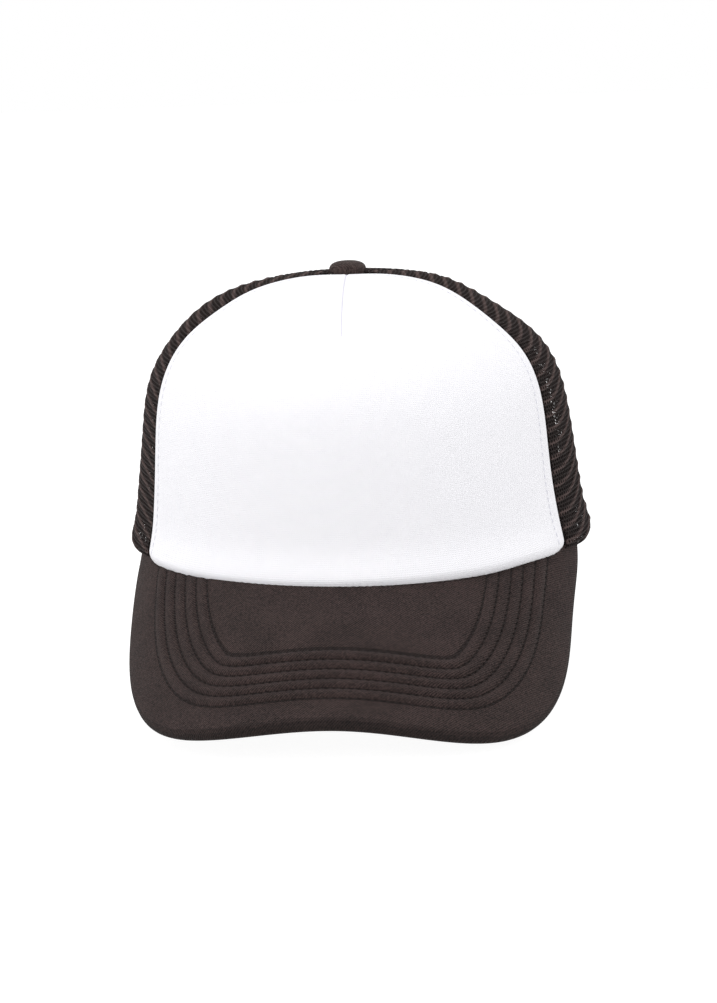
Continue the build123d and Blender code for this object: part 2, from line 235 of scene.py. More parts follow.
# The turn of the tape round the raw edge: growth of the opening, and height over the crown.
BINDING_FOLD = ((-0.45, 0.3), (-0.6, -0.35), (-0.45, -1.0))
BINDING_GROWTHS = (6.0, 4.6, 3.2, 1.8, 0.6, 0.0)
BINDING_STEP = 1.1
BINDING_SEWN = 4.4
BINDING_STITCH_LIFT = 0.75
ARCH_FOOT = 0.4
ARCH_SIDE_POINTS = 22
ARCH_TURN_POINTS = 122
BAND_DEPTH = 4.3
BAND_FOAM = 0.9
BAND_CLOTH = 0.7
BAND_FACE = BAND_DEPTH + BAND_FOAM + BAND_CLOTH
BAND_BOTTOM = 0.2
BAND_TOP = 33.0
BAND_END = 149.5
BAND_COLUMNS = 361
BAND_ROWS = 26
BAND_RUFFLE = 0.12
BAND_RUFFLE_RUN = 2.1
BAND_RUFFLE_REACH = 3.0
BAND_SWAY = 0.25
BAND_SWAY_RUN = 31.0
BAND_EDGE_REACH = 1.2
BAND_EDGE_DIP = 0.25
BAND_EDGE_THINNING = 0.2
BAND_SEWN = 2.5
BAND_LINE_POINTS = 700
LABEL_DIRECTION = 100.0
LABEL_WIDTH = 22.0
LABEL_HEIGHT = 30.0
LABEL_THICKNESS = 0.3
LABEL_CELLS = 33
LABEL_GAP = 0.35
BUTTON_RADIUS = 7.1
BUTTON_HEIGHT = 3.7
BUTTON_RIM = 0.14
BUTTON_UNDER = 0.35
BUTTON_COLUMNS = 145
BUTTON_ROWS = 40
BUTTON_PLEATS = 18
BUTTON_GATHER = 0.10
BUTTON_TUCK = 0.9
BUTTON_NOTCH = 0.55
NOTCH_WIDTH = 0.16
BUTTON_SINK = 1.5
BUTTON_DIMPLE = 1.5
DIMPLE_REACH = 14.0

# Pitch, length and radius of each kind of stitch.
STITCH_PITCH = 2.9
VISOR_STITCH = (STITCH_PITCH, 2.3, 0.2)
TOPSTITCH = (STITCH_PITCH, 2.2, 0.16)
DART_STITCH = (1.0, 1.3, 0.15)
SEAM_STITCH = (2.8, 2.3, 0.2)
BAND_STITCH = (3.0, 2.4, 0.2)
LINE_STEP = 0.5
THREAD_PROUD = 0.05
SEAM_STITCH_ASIDE = 2.8
SEAM_STITCH_PROUD = 0.08
SEAM_STITCH_FOOT = 2.0
SEAM_STITCH_TOP = 6.0
BACK_STITCH_FOOT = ARCH_HEIGHT + 7


# ---- node helpers
def new_material(name, colour, roughness):
    """Material with one shader, its colour and roughness set."""
    material = bpy.data.materials.new(name)
    material.use_nodes = True
    shader = material.node_tree.nodes["Principled BSDF"]
    set_inputs(shader, {"Base Color": (*colour, 1), "Roughness": roughness, "Specular IOR Level": 0.2})
    return material, shader


def set_inputs(node, values):
    """Give named inputs of a node their values."""
    for name, value in values.items():
        node.inputs[name].default_value = value


def add_node(material, kind, **settings):
    """New node with its settings made."""
    node = material.node_tree.nodes.new(kind)
    for key, value in settings.items():
        setattr(node, key, value)
    return node


def join(source, target):
    """Link one socket to another."""
    source.id_data.links.new(source, target)


def math_node(operation, first, second=None):
    """Output of a math node on a socket and a second socket or number."""
    node = first.id_data.nodes.new("ShaderNodeMath")
    node.operation = operation
    join(first, node.inputs[0])
    if isinstance(second, bpy.types.NodeSocket):
        join(second, node.inputs[1])
    elif second is not None:
        node.inputs[1].default_value = second
    return node.outputs[0]


def times(first, second):
    """Product of a socket and a socket or number."""
    return math_node("MULTIPLY", first, second)


def plus(first, second):
    """Sum of a socket and a socket or number."""
    return math_node("ADD", first, second)


def cloth_axes(material):
    """Two outputs: millimetres across and up the cloth, from the surface's own map."""
    split = add_node(material, "ShaderNodeSeparateXYZ")
    join(add_node(material, "ShaderNodeUVMap", uv_map="cloth").outputs[0], split.inputs[0])
    return times(split.outputs[0], 1 / MM), times(split.outputs[1], 1 / MM)


def waves(position, pitch):
    """Sine of a position, one wave in each pitch."""
    return math_node("SINE", times(position, 2 * pi / pitch))


def noise(material, size, detail=4.0):
    """Smooth noise with features of a size in millimetres."""
    node = add_node(material, "ShaderNodeTexNoise")
    set_inputs(node, {"Scale": 1 / (size * MM), "Detail": detail})
    place = add_node(material, "ShaderNodeTexCoord")
    join(place.outputs["Object"], node.inputs["Vector"])
    return node.outputs["Fac"]


def tint(shader, factor, low, high, start=0.0, end=1.0):
    """Colour that runs from low to high as a factor runs from start to end."""
    ramp = factor.id_data.nodes.new("ShaderNodeValToRGB")
    for stop, place, colour in zip(ramp.color_ramp.elements, (start, end), (low, high)):
        stop.position = place
        stop.color = (*colour, 1)
    join(factor, ramp.inputs[0])
    join(ramp.outputs[0], shader.inputs["Base Color"])


def relief(shader, height, distance):
    """Bump from a height of about 0 to 1, in millimetres."""
    bump = height.id_data.nodes.new("ShaderNodeBump")
    set_inputs(bump, {"Distance": distance * MM, "Strength": 1.0})
    join(height, bump.inputs["Height"])
    join(bump.outputs[0], shader.inputs["Normal"])


def sheen(shader, weight, colour=(0.9, 0.8, 0.78)):
    """Soft fibre sheen."""
    set_inputs(shader, {"Sheen Weight": weight, "Sheen Roughness": 0.5, "Sheen Tint": (*colour, 1)})


# ---- materials
def knit_material(name, low, high, wale, course, depth):
    """Fine knit: rows of small slanting loops."""
    material, shader = new_material(name, high, 0.92)
    across, up = cloth_axes(material)
    leg = math_node("ABSOLUTE", waves(across, 2 * wale))
    slanted = plus(up, times(leg, course / 2))
    loops = times(leg, waves(slanted, course))
    fibre = times(noise(material, 0.25), 1.2)
    relief(shader, plus(loops, fibre), depth)
    tint(shader, noise(material, 9.0), low, high)
    sheen(shader, 0.15, (1, 1, 1))
    return material


def twill_material(name, low, high, pitch, depth, sheen_weight):
    """Fine diagonal twill with a soft sheen and slubs."""
    material, shader = new_material(name, high, 0.85)
    across, up = cloth_axes(material)
    ribs = waves(plus(across, up), pitch)
    crossing = times(waves(across, pitch), waves(up, pitch))
    weave = plus(ribs, times(crossing, 0.6))
    fibre = times(noise(material, 0.3), 1.5)
    relief(shader, plus(weave, fibre), depth)
    speck = times(noise(material, 0.8, 3.0), 0.75)
    patch = times(noise(material, 14.0), 0.25)
    mottle = plus(plus(speck, patch), times(weave, 0.07))
    tint(shader, mottle, low, high, 0.34, 0.68)
    sheen(shader, sheen_weight)
    return material


def grained_material(name, low, high, roughness, grain, depth, patch):
    """Fine grain with broader patches of tint; also gives its shader."""
    material, shader = new_material(name, high, roughness)
    relief(shader, noise(material, grain), depth)
    tint(shader, noise(material, patch), low, high)
    return material, shader


def yarn_material(name, low, high, roughness):
    """Twisted filament yarn, a little glossy."""
    return grained_material(name, low, high, roughness, 0.18, 0.12, 0.7)[0]


def net_material(name, low, high):
    """Filament net with a painted highlight on its raised rows and painted shade in the rows between
    them.
    """
    material, shader = new_material(name, high, 0.75)
    across, up = cloth_axes(material)
    slant = times(math_node("ABSOLUTE", across), RIB_SLANT)
    sway = times(waves(across, RIB_SWAY_PITCH), RIB_SWAY)
    place = plus(plus(up, slant), sway)
    # Painted highlight on the rib crests and painted shade in the valleys: the colour follows the rib
    # wave, with random speckle on top.
    crest = waves(plus(place, RIB_PITCH / 4), RIB_PITCH)
    ridge = math_node("POWER", math_node("MAXIMUM", crest, 0.0), 2.2)
    relief(shader, noise(material, 0.18), 0.12)
    speckle = times(noise(material, 0.9), 0.5)
    tint(shader, plus(ridge, speckle), low, high, 0.1)
    shader.inputs["Specular IOR Level"].default_value = 0.08
    sheen(shader, 0.03)
    return material


def foam_material(name, low, high):
    """Open-cell foam with small pores."""
    material, shader = new_material(name, high, 0.95)
    cells = add_node(material, "ShaderNodeTexVoronoi")
    cells.inputs["Scale"].default_value = 1 / (0.7 * MM)
    join(add_node(material, "ShaderNodeTexCoord").outputs["Object"], cells.inputs["Vector"])
    relief(shader, cells.outputs["Distance"], 0.25)
    tint(shader, cells.outputs["Distance"], low, high)
    return material


def plastic_material():
    """Moulded satin plastic with a fine grain and faint flow marks."""
    low, high = (0.014, 0.012, 0.011), (0.028, 0.024, 0.022)
    material, shader = grained_material("moulded_plastic", low, high, 0.4, 0.5, 0.03, 12.0)
    shader.inputs["Specular IOR Level"].default_value = 0.5
    rough = add_node(material, "ShaderNodeMapRange")
    set_inputs(rough, {"To Min": 0.32, "To Max": 0.5})
    join(noise(material, 4.0), rough.inputs["Value"])
    join(rough.outputs[0], shader.inputs["Roughness"])
    return material


def metal_material():
    """Stamped metal with fine turning marks and light tarnish."""
    low, high = (0.36, 0.36, 0.37), (0.56, 0.56, 0.58)
    material, shader = grained_material("stamped_metal", low, high, 0.38, 0.4, 0.04, 2.0)
    shader.inputs["Metallic"].default_value = 1.0
    return material


def board_material():
    """Plain moulded board inside the visor."""
    low, high = (0.52, 0.52, 0.5), (0.64, 0.64, 0.62)
    return grained_material("visor_board", low, high, 0.6, 1.2, 0.08, 6.0)[0]


# A twill has a darkest and a palest colour, a pitch, a relief and a sheen; a knit has a wale, a
# course and a relief. Pitches and reliefs are in millimetres.
VISOR_TWILL = twill_material(
    "visor_twill", (0.008, 0.0042, 0.0037), (0.046, 0.0285, 0.0262), 1.1, 0.15, 0.03)
# Painted shade: a darker copy of the visor twill for the rolled lip, the sewn grooves and the strip under
# the crown's hem, and a half-dark copy that fades that shade in above the lip.
PAINTED_SHADE_TWILL = twill_material(
    "painted_shade_twill", (0.004, 0.002, 0.0017), (0.019, 0.0112, 0.0102), 1.1, 0.14, 0.02)
PAINTED_HALF_SHADE_TWILL = twill_material(
    "painted_half_shade_twill", (0.006, 0.0031, 0.0027), (0.031, 0.019, 0.0174), 1.1, 0.14, 0.02)
BUTTON_TWILL = twill_material(
    "button_twill", (0.012, 0.0068, 0.006), (0.064, 0.0425, 0.039), 1.1, 0.15, 0.03)
TAPE_WEAVE = twill_material(
    "tape_weave", (0.009, 0.0065, 0.006), (0.024, 0.018, 0.017), 0.9, 0.12, 0.04)
BAND_KNIT = twill_material(
    "band_knit", (0.010, 0.0075, 0.007), (0.028, 0.021, 0.020), 0.8, 0.10, 0.10)
WHITE_KNIT = knit_material(
    "white_knit", (0.72, 0.715, 0.745), (0.75, 0.745, 0.77), 0.75, 0.7, 0.05)
LABEL_SATIN = knit_material(
    "label_satin", (0.72, 0.72, 0.71), (0.80, 0.80, 0.79), 0.3, 0.3, 0.02)
# The darkest colour is painted shade between the ribs, the palest a painted highlight on their crests.
NET_YARN = net_material("net_yarn", (0.0020, 0.0010, 0.0009), (0.062, 0.0425, 0.0395))
BROWN_THREAD = yarn_material("brown_thread", (0.008, 0.0055, 0.005), (0.020, 0.014, 0.013), 0.6)
SEAM_THREAD = yarn_material("seam_thread", (0.55, 0.54, 0.62), (0.64, 0.63, 0.71), 0.8)
PALE_THREAD = yarn_material("pale_thread", (0.50, 0.50, 0.56), (0.72, 0.72, 0.77), 0.6)
WHITE_FOAM = foam_material("white_foam", (0.58, 0.58, 0.57), (0.78, 0.78, 0.77))
DARK_FOAM = foam_material("dark_foam", (0.012, 0.010, 0.010), (0.035, 0.030, 0.029))
PLASTIC = plastic_material()
METAL = metal_material()
BOARD = board_material()


# ---- the worn shape
# Soft changes from the even CAD shape: where each is centred, how far it reaches, its shift.
WORN_SHIFTS = [
    ((95, -28, -2), (30, 46, 16), (1.3, 0, -1.2)),
    ((84, -50, 8), (16, 24, 22), (2.2, 0, 0.6)),
    ((70, -62, 2), (16, 22, 12), (0, 0, 1.5)),
    ((84, -33, 45), (24, 22, 24), (0.6, 0, 0)),
    ((76, -20, 70), (24, 50, 22), (1.3, 0, 0)),
    ((62, -20, 92), (24, 60, 14), (-0.4, 0, -1.9)),
    ((38, -15, 104), (16, 50, 12), (0, 0, 1.2)),
    ((-82, -36, 36), (20, 20, 36), (1.7, 0, 0)),
    ((-78, 0, 68), (20, 44, 18), (-1.3, 0, 0)),
    ((-54, -20, 96), (28, 60, 16), (-0.6, 0, 2.1)),
    ((-52, -42, 97), (18, 18, 14), (2.2, 0, -1.4)),
    ((-76, -58, 2), (14, 20, 12), (0, 0, 0.8)),
    ((-72, -138, -42), (26, 26, 20), (0, 0, -0.9)),
    ((76, -132, -40), (26, 26, 20), (-1, 0, 0.7)),
]


def worn(points):
    """Points moved by the small uneven settling of a sewn cap."""
    moved = points.copy()
    for centre, reach, shift in WORN_SHIFTS:
        apart = ((points - np.array(centre)) / np.array(reach)) ** 2
        moved += np.exp(-apart.sum(axis=1))[:, None] * np.array(shift)
    return moved


# ---- mesh helpers
def shape(name, points, faces, material, cloth_map=None):
    """Smooth mesh object from points in millimetres, with a map of the flat cloth."""
    mesh = bpy.data.meshes.new(name)
    mesh.from_pydata((worn(np.asarray(points)) * MM).tolist(), [], np.asarray(faces).tolist())
    if cloth_map is not None:
        corners = np.empty(len(mesh.loops), np.int32)
        mesh.loops.foreach_get("vertex_index", corners)
        layer = mesh.uv_layers.new(name="cloth")
        layer.uv.foreach_set("vector", (cloth_map * MM)[corners].ravel())
    mesh.shade_smooth()
    mesh.materials.append(material)
    piece = bpy.data.objects.new(name, mesh)
    bpy.context.collection.objects.link(piece)
    return piece


def quads(index):
    """Four-sided faces of a grid of point numbers."""
    corners = (index[:-1, :-1], index[:-1, 1:], index[1:, 1:], index[1:, :-1])
    return np.stack([corner.ravel() for corner in corners], axis=1)


def grid(name, points, material, cloth_map):
    """Open sheet from a grid of points."""
    rows, columns = points.shape[:2]
    faces = quads(np.arange(rows * columns).reshape(rows, columns))
    return shape(name, points.reshape(-1, 3), faces, material, cloth_map.reshape(-1, 2))


def shell(name, outer, inner, material, cloth_map):
    """Closed sheet with thickness, from its outer and inner grids."""
    outer, inner, cloth_map = map(np.asarray, (outer, inner, cloth_map))
    rows, columns = outer.shape[:2]
    count = rows * columns
    index = np.arange(count).reshape(rows, columns)
    front = quads(index)
    ring = np.concatenate([index[0, :-1], index[:-1, -1], index[-1, :0:-1], index[:0:-1, 0]])
    after = np.roll(ring, -1)
    rim = np.stack([after, ring, ring + count, after + count], axis=1)
    points = np.concatenate([outer.reshape(-1, 3), inner.reshape(-1, 3)])
    faces = np.concatenate([front, front[:, ::-1] + count, rim])
    flat = cloth_map.reshape(-1, 2)
    return shape(name, points, faces, material, np.concatenate([flat, flat]))


def hump(distance, width):
    """Rounded profile: 1 at no distance, falling to 0 beyond a width."""
    return np.exp(-((distance / width) ** 2))


def ring_faces(index):
    """Faces between successive closed rings of point numbers."""
    turned = np.roll(index, -1, axis=-1)
    faces = np.stack([index[:, :-1], turned[:, :-1], turned[:, 1:], index[:, 1:]], axis=-1)
    return faces.reshape(-1, 4)


def unit(vectors):
    """Vectors scaled to length one."""
    return vectors / np.linalg.norm(vectors, axis=-1, keepdims=True)


def along(points):
    """Distance travelled along a line of points."""
    steps = np.linalg.norm(np.diff(points, axis=0), axis=1)
    return np.concatenate([[0], np.cumsum(steps)])


def at(points, distances, wanted):
    """Points of a line at the wanted distances along it."""
    return np.stack([np.interp(wanted, distances, column) for column in points.T], axis=1)


RING = 6
STITCH_REACH = 0.3
STITCH_RINGS = np.array([-0.5, -0.36, 0.0, 0.36, 0.5])
STITCH_GIRTH = np.array([0.35, 0.85, 1.0, 0.85, 0.35])
STITCH_ARCH = np.array([-1.0, 0.25, 0.6, 0.25, -1.0])


def stitches(name, lines, material, size):
    """Rows of short thread stitches: each line is its points and the normals there."""
    pitch, length, radius = size
    middles, tangents, normals = [], [], []
    for points, ups in lines:
        distances = along(points)
        centres = np.arange(pitch / 2, distances[-1] - pitch / 2, pitch)
        middles.append(at(points, distances, centres))
        ahead, behind = centres + STITCH_REACH, centres - STITCH_REACH
        tangents.append(unit(at(points, distances, ahead) - at(points, distances, behind)))
        normals.append(unit(at(ups, distances, centres)))
    middle = np.concatenate(middles)[:, None, None]
    tangent = np.concatenate(tangents)[:, None, None]
    normal = np.concatenate(normals)[:, None, None]
    side = np.cross(tangent, normal)
    angle = (np.arange(RING) * 2 * pi / RING)[None, None, :, None]
    girth = (STITCH_GIRTH * radius)[None, :, None, None]
    points = middle + tangent * (STITCH_RINGS * length)[None, :, None, None]
    points = points + normal * ((STITCH_ARCH * radius)[None, :, None, None] + girth * np.sin(angle))
    points = points + side * girth * np.cos(angle)
    count = len(middle)
    rings = len(STITCH_RINGS)
    index = np.arange(count * rings * RING).reshape(count, rings, RING)
    return shape(name, points.reshape(-1, 3), ring_faces(index), material)


# ---- crown surface
def wall(reach, lean, turn, level):
    """Reach of one wall at a level from 0 at the hem to 1 at the top."""
    return reach * (1 - lean * level) * np.sqrt(1 - level**turn)


def reach_along(middle, aside, level):
    """Distance out from the button axis at which a crown section crosses a line.

    The line points in the middle direction and passes the axis at a distance aside.
    """
    sine = np.sin(np.radians(middle))
    cosine = np.cos(np.radians(middle))
    side = wall(HALF_WIDTH, SIDE_LEAN, SIDE_TURN, level)
    slack = APEX_FORWARD * (1 - level**2) - aside * sine

    def solve(depth):
        square = sine**2 / side**2 + cosine**2 / depth**2
        half = sine * cosine * aside / side**2 + cosine * slack / depth**2
        rest = (aside * cosine) ** 2 / side**2 + slack**2 / depth**2 - 1
        return (-half + np.sqrt(half**2 - square * rest)) / square

    with np.errstate(invalid="ignore"):
        to_front = solve(wall(FRONT_REACH, FRONT_LEAN, FRONT_TURN, level))
        to_back = solve(wall(BACK_REACH, BACK_LEAN, BACK_TURN, level))
    return np.where(slack + to_front * cosine > 0, to_front, to_back)


def crown_point(direction, level):
    """Point of the crown's outer surface."""
    reach = reach_along(direction, 0, level)
    angle = np.radians(direction)
    x = reach * np.sin(angle)
    y = -APEX_FORWARD - reach * np.cos(angle)
    return np.stack(np.broadcast_arrays(x, y, CROWN_HEIGHT * level), axis=-1)


def crown_normal(direction, level):
    """Outward normal of the crown's outer surface."""
    level = np.clip(level, LEVEL_STEP, NORMAL_TOP_LEVEL - LEVEL_STEP)
    across = crown_point(direction + NORMAL_STEP, level) - crown_point(direction - NORMAL_STEP, level)
    upward = crown_point(direction, level + LEVEL_STEP) - crown_point(direction, level - LEVEL_STEP)
    return unit(np.cross(across, upward))


def crown_column(middle, aside):
    """Line up the crown in an upright plane, from the hem: its points and their distances."""
    reach = reach_along(middle, aside, LEVELS)
    last = np.argmax(np.isnan(reach)) if np.isnan(reach).any() else len(LEVELS)
    sine, cosine = sin(radians(middle)), cos(radians(middle))
    x = reach * sine + aside * cosine
    y = -APEX_FORWARD - reach * cosine + aside * sine
    points = np.stack([x, y, CROWN_HEIGHT * LEVELS], axis=1)[:last]
    return points, along(points)


def direction_of(points):
    """Direction of points round the button axis."""
    return np.degrees(np.arctan2(points[..., 0], -(points[..., 1] + APEX_FORWARD)))


def level_of(points):
    """Level of points on the crown's surface."""
    return np.clip(points[..., 2] / CROWN_HEIGHT, 0, TOP_LEVEL)


def from_axis(points):
    """Distance of points from the button axis."""
    return np.hypot(points[..., 0], points[..., 1] + APEX_FORWARD)


def on_column(line, distances, up):
    """Points and outward normals at heights up a line of the crown."""
    points = at(line, distances, up)
    return points, crown_normal(direction_of(points), level_of(points))


def roll_under(points, normals, height, radius):
    """Points moved so that the cloth below a height turns inward and under."""
    turn = np.clip((radius - height) / radius, 0, None)[..., None]
    flat = unit(normals * np.array([1, 1, 0]))
    return points - np.array([0, 0, radius]) * np.sin(turn) - flat * radius * (1 - np.cos(turn))


# ---- fitting pieces to the frame
def bend_with_strap(piece):
    """Bake a crown piece's placement into its points; nothing bends it with the peg strap."""
    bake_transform(piece)


def set_piece(piece, nodes=(), bends=False):
    """Hide the CAD nodes a piece stands for, then either bake its placement or fix it to the crown's
    body.
    """
    if nodes:
        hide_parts(*nodes)
    if bends:
        bend_with_strap(piece)
    else:
        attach(piece, "crown")
    return piece


# ---- mesh panels
def in_arch(points):
    """True for points of the back wall inside the rear opening."""
    across = points[:, 0] / (ARCH_HALF_WIDTH + NET_PITCH / 2)
    above = points[:, 2] - ARCH_SIDE_HEIGHT
    up = np.clip(above, 0, None) / (ARCH_HEIGHT - ARCH_SIDE_HEIGHT + NET_PITCH / 2)
    return (across**2 + up**2 < 1) & (points[:, 1] > 0)


def on_crown(middle, aside, up):
    """Crown points for flat positions, aside from a panel's middle line and up from the hem.

    Also how far up the crown goes at each position.
    """
    points = np.empty((len(aside), 3))
    tops = np.empty(len(aside))
    for value in np.unique(aside):
        chosen = aside == value
        line, distances = crown_column(middle, value)
        points[chosen] = at(line, distances, np.maximum(up[chosen], 0))
        tops[chosen] = distances[-1]
    return points, tops


def net_cells(middle, half_angle):
    """Middles of the six-sided cells that fit a panel, as flat positions."""
    half_count = int(NET_HALF_SPAN / NET_PITCH)
    columns = np.arange(-half_count, half_count + 1) * NET_PITCH
    rows = np.arange(-NET_TUCK, NET_REACH, NET_ROW)
    stagger = (np.arange(len(rows)) % 2) * NET_PITCH / 2
    aside = np.round((columns[None, :] + stagger[:, None]).ravel(), 4)
    up = np.repeat(rows, len(columns))
    place, tops = on_crown(middle, aside, up)
    out = place[:, :2] - np.array([0, -APEX_FORWARD])
    reach = out @ np.array([sin(radians(middle)), -cos(radians(middle))])
    inside = (reach > np.abs(aside) / np.tan(radians(half_angle))) & (up < tops - 0.01)
    keep = inside & (from_axis(place) > BUTTON_CLEAR) & ~in_arch(place)
    return aside[keep], up[keep]


def net_bulge(up):
    """Fullness of the net just over its hem."""
    return NET_BULGE * hump(up - NET_BULGE_HEIGHT, NET_BULGE_SPREAD)


def net_ribs(aside, up, from_seam):
    """Soft ribs along the rows of the net, pressed flat beside its seams."""
    sway = RIB_SWAY * np.sin(2 * pi * aside / RIB_SWAY_PITCH)
    place = up + RIB_SLANT * np.abs(aside) + sway
    ridge = (0.5 + 0.5 * np.cos(2 * pi * place / RIB_PITCH)) ** 2
    uneven = np.sin(up / RIB_UNEVEN_RUNS[0] + aside / RIB_UNEVEN_RUNS[1])
    strength = 1 - RIB_UNEVEN + RIB_UNEVEN * uneven
    return RIB_HEIGHT * ridge * strength * (1 - RIB_SEAM_PRESS * hump(from_seam, RIB_SEAM_REACH))


def net_yarns(aside, up):
    """Yarns round each cell, laid flat: their points and faces.

    Each cell has five rings of corners, from its outside face in to the hole and out again.
    """
    corner = np.radians(np.arange(CELL_SIDES) * 360 / CELL_SIDES + CORNER_TURN)
    corner_aside = np.cos(corner) * NET_PITCH / 3**0.5
    corner_up = np.sin(corner) * NET_ROW * 2 / 3
    rings = [(1, YARN_HEIGHT), (NET_SHOULDER, SHOULDER_HEIGHT), (NET_HOLE, 0),
             (NET_SHOULDER, -SHOULDER_HEIGHT), (1, -YARN_HEIGHT)]
    flat = np.empty((len(aside), len(rings), CELL_SIDES, 3))
    for number, (share, height) in enumerate(rings):
        flat[:, number, :, 0] = aside[:, None] + corner_aside * share
        flat[:, number, :, 1] = up[:, None] + corner_up * share
        flat[:, number, :, 2] = height
    flat, index = np.unique(np.round(flat.reshape(-1, 3), 3), axis=0, return_inverse=True)
    index = index.reshape(len(aside), len(rings), CELL_SIDES)
    return flat, ring_faces(index)


def net_panel(name, start, end):
    """One openwork panel: yarns run round every cell of a six-sided net."""
    middle = (start + end) / 2
    half_angle = (end - start) / 2
    flat, faces = net_yarns(*net_cells(middle, half_angle))
    surface = on_crown(middle, flat[:, 0], np.maximum(flat[:, 1], NET_HEM_ROLL))[0]
    away = (direction_of(surface) - middle + 180) % 360 - 180
    out = from_axis(surface)
    margin = np.degrees(SEAM_MARGIN / np.maximum(out, SEAM_NEAREST_AXIS))
    direction = middle + np.clip(away, margin - half_angle, half_angle - margin)
    level = level_of(surface)
    normals = crown_normal(direction, level)
    from_seam = out * np.sin(np.radians(np.clip(half_angle - np.abs(away), 0, 90)))
    lift = flat[:, 2] - NET_DEPTH + net_bulge(flat[:, 1]) + net_ribs(flat[:, 0], flat[:, 1], from_seam)
    points = crown_point(direction, level) + normals * lift[:, None]
    points = roll_under(points, normals, flat[:, 1], NET_HEM_ROLL)
    return shape(name, points, faces, NET_YARN, flat[:, :2])


NET_PANELS = {
    "side_mesh_left": (FRONT_SEAM, SIDE_SEAM),
    "back_mesh_left": (SIDE_SEAM, BACK_SEAM),
    "back_mesh_right": (BACK_SEAM, 2 * BACK_SEAM - SIDE_SEAM),
    "side_mesh_right": (2 * BACK_SEAM - SIDE_SEAM, 2 * BACK_SEAM - FRONT_SEAM),
}
for node, (start, end) in NET_PANELS.items():
    net = net_panel("net_" + node, start, end)
    set_piece(net, [node], bends=True)


# ---- front panel
def panel_lift(points, up, top):
    """Height of the front panel over the crown, with its seams and stitch lines.

    Also the distance of each point from the nearer side seam.
    """
    out = from_axis(points)
    from_seam = np.maximum(out * np.sin(np.radians(FRONT_SEAM - np.abs(direction_of(points)))), 0)
    short = np.maximum(PANEL_EDGE_ROLL - from_seam, 0)
    lift = np.sqrt(PANEL_EDGE_ROLL**2 - short**2) - PANEL_EDGE_ROLL
    lift = lift + PANEL_PUFF * (1 - np.exp(-from_seam / PANEL_PUFF_REACH))
    lift = lift - TOPSTITCH_GROOVE * hump(from_seam - TOPSTITCH_INSET, TOPSTITCH_WIDTH)
    lift = lift - BUTTON_DIMPLE * hump(out, DIMPLE_REACH)
    below_top = top - up
    across = points[..., 0] + DART_SLANT * below_top
    fade = 1 / (1 + np.exp((below_top - DART_LENGTH) / DART_FADE))
    depth = DART_GROOVE + (DART_DEPTH - DART_GROOVE) * np.exp(-below_top / DART_NOTCH)
    lift = lift - depth * fade * hump(across, DART_WIDTH)
    bulge = hump(up, PANEL_BULGE_REACH) * (1 - np.exp(-from_seam / BULGE_SEAM_REACH))
    run = np.radians(direction_of(points)) * FRONT_REACH
    pucker = np.cos(2 * pi * run / PUCKER_PITCH + PUCKER_DRIFT * np.sin(run / PUCKER_DRIFT_RUN))
    pucker = pucker * (1 - PUCKER_SWELL + PUCKER_SWELL * np.sin(run / PUCKER_SWELL_RUN))
    pucker = pucker * np.exp(-np.maximum(up, 0) / PUCKER_REACH)
    return lift + PANEL_HEM_BULGE * bulge + PUCKER_DEPTH * pucker, from_seam


def hem_rise(up, from_seam):
    """Rise of the panel near its hem: below 0 in the middle and above 0 at the corners."""
    rise = PANEL_HEM_RISE + CORNER_LIFT * np.exp(-from_seam / CORNER_REACH)
    return rise * np.exp(-np.maximum(up, 0) / HEM_RISE_REACH)


def front_panel():
    """Foam-backed front panel, rolled at its sides and hem."""
    spread = np.linspace(-1, 1, PANEL_COLUMNS)
    directions = FRONT_SEAM * (spread - PANEL_CROWDING * np.sin(2 * pi * spread) / (2 * pi))
    outer = np.empty((PANEL_HEM_ROWS + PANEL_ROWS, PANEL_COLUMNS, 3))
    inner = np.empty_like(outer)
    flat = np.empty(outer.shape[:2] + (2,))
    share = np.linspace(0, 1, PANEL_ROWS + 1)[1:]
    low = np.linspace(-PANEL_TUCK, PANEL_HEM_TOP, PANEL_HEM_ROWS)
    for number, direction in enumerate(directions):
        line, distances = crown_column(direction, 0)
        top = distances[-1]
        up = np.concatenate([low, PANEL_HEM_TOP + (top - PANEL_TOP_GAP - PANEL_HEM_TOP) * share])
        surface = at(line, distances, np.maximum(up, PANEL_HEM_ROLL))
        normals = crown_normal(np.full(len(up), direction), level_of(surface))
        lift, from_seam = panel_lift(surface, up, top)
        rise = hem_rise(up, from_seam)
        outside = roll_under(surface + normals * lift[:, None], normals, up, PANEL_HEM_ROLL)
        outside[:, 2] += rise
        inside = surface - normals * PANEL_THICKNESS
        inside[:, 2] = np.maximum(inside[:, 2], PANEL_HEM_ROLL) + rise * (up < PANEL_HEM_ROLL)
        outer[:, number] = outside
        inner[:, number] = inside
        flat[:, number] = np.stack([surface[:, 0], up], axis=1)
    piece = shell("front_panel", outer, inner, WHITE_KNIT, flat)
    piece.data.materials.append(WHITE_FOAM)
    sheet_faces = (outer.shape[0] - 1) * (outer.shape[1] - 1)
    for face in piece.data.polygons[sheet_faces:2 * sheet_faces]:
        face.material_index = 1
    return piece


panel = front_panel()
set_piece(panel, ["front_panel_cloth", "front_panel_foam"])


def panel_stitch_line(side):
    """Stitch line just inside one side seam of the front panel."""
    line, distances = crown_column(side * FRONT_SEAM, -side * TOPSTITCH_INSET)
    up = np.arange(TOPSTITCH_START, distances[-1] - TOPSTITCH_END, LINE_STEP)
    points, normals = on_column(line, distances, up)
    lift, from_seam = panel_lift(points, up, distances[-1])
    points = points + normals * (lift + THREAD_PROUD)[:, None]
    points[:, 2] += hem_rise(up, from_seam)
    return points, normals


